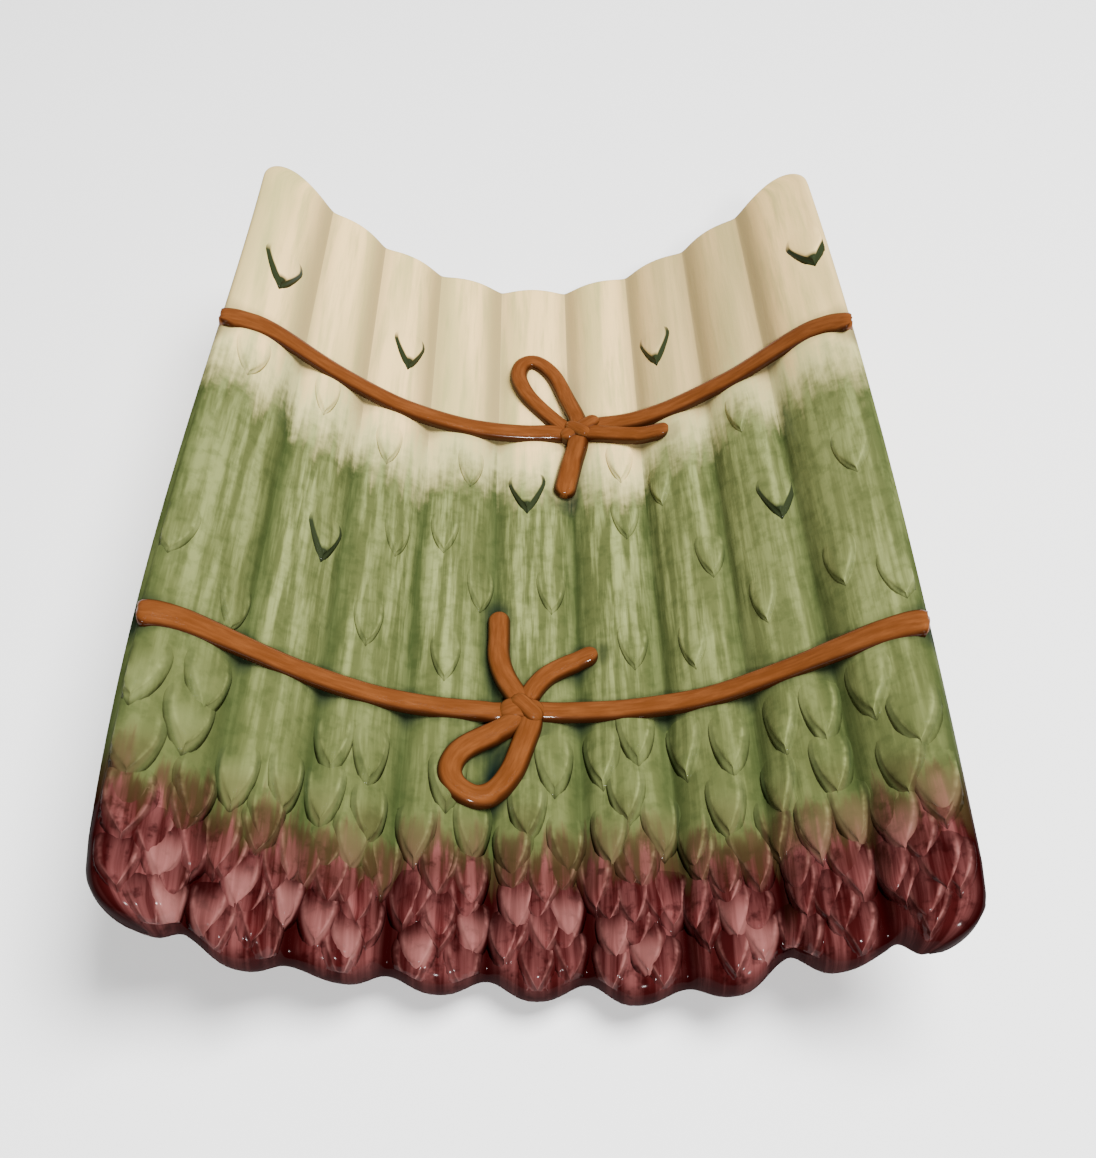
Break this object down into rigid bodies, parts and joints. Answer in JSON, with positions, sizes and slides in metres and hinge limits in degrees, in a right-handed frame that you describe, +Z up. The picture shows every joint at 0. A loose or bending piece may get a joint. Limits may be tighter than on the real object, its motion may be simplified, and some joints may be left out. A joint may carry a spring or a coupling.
{
  "type": "asparagus plate",
  "caption": "Trough-shaped serving plate of glazed earthenware formed as a tied bundle of asparagus stalks, with raised bracts, two bow ties and a foot ring.",
  "frame": {"origin": "on the table, under the middle of the plate's bounding box", "axes": "+X to the right across the stalks, +Y along the stalks towards the cut ends, +Z up"},
  "size_m": [0.2032, 0.265, 0.0661],
  "materials": {
    "stalk_glaze": "glossy hand-brushed glaze, cream at the cut ends, sage green along the stalks, plum at the tips",
    "bract_glaze": "glossy hand-brushed glaze, rose and plum at the tips, sage green along the stalks",
    "tie_glaze": "glossy burnt-orange glaze, darker along the edges",
    "foot_glaze": "glossy cream glaze, wiped bare on the face that rests on the table"
  },
  "bodies": {
    "root": {"plate_body": "stalk_glaze", "foot_ring": "foot_glaze", "rear_tie_left": "tie_glaze", "rear_tie_right": "tie_glaze", "rear_knot": "tie_glaze", "rear_bow_loop": "tie_glaze", "rear_tail_side": "tie_glaze", "rear_tail_front": "tie_glaze", "front_tie_left": "tie_glaze", "front_tie_right": "tie_glaze", "front_knot": "tie_glaze", "front_bow_loop": "tie_glaze", "front_tail_left": "tie_glaze", "front_tail_right": "tie_glaze", "bracts_stalk_1": "bract_glaze", "bracts_stalk_2": "bract_glaze", "bracts_stalk_3": "bract_glaze", "bracts_stalk_4": "bract_glaze", "bracts_stalk_5": "bract_glaze", "bracts_stalk_6": "bract_glaze", "bracts_stalk_7": "bract_glaze", "bracts_stalk_8": "bract_glaze", "bracts_stalk_9": "bract_glaze"}
  },
  "joints": []
}
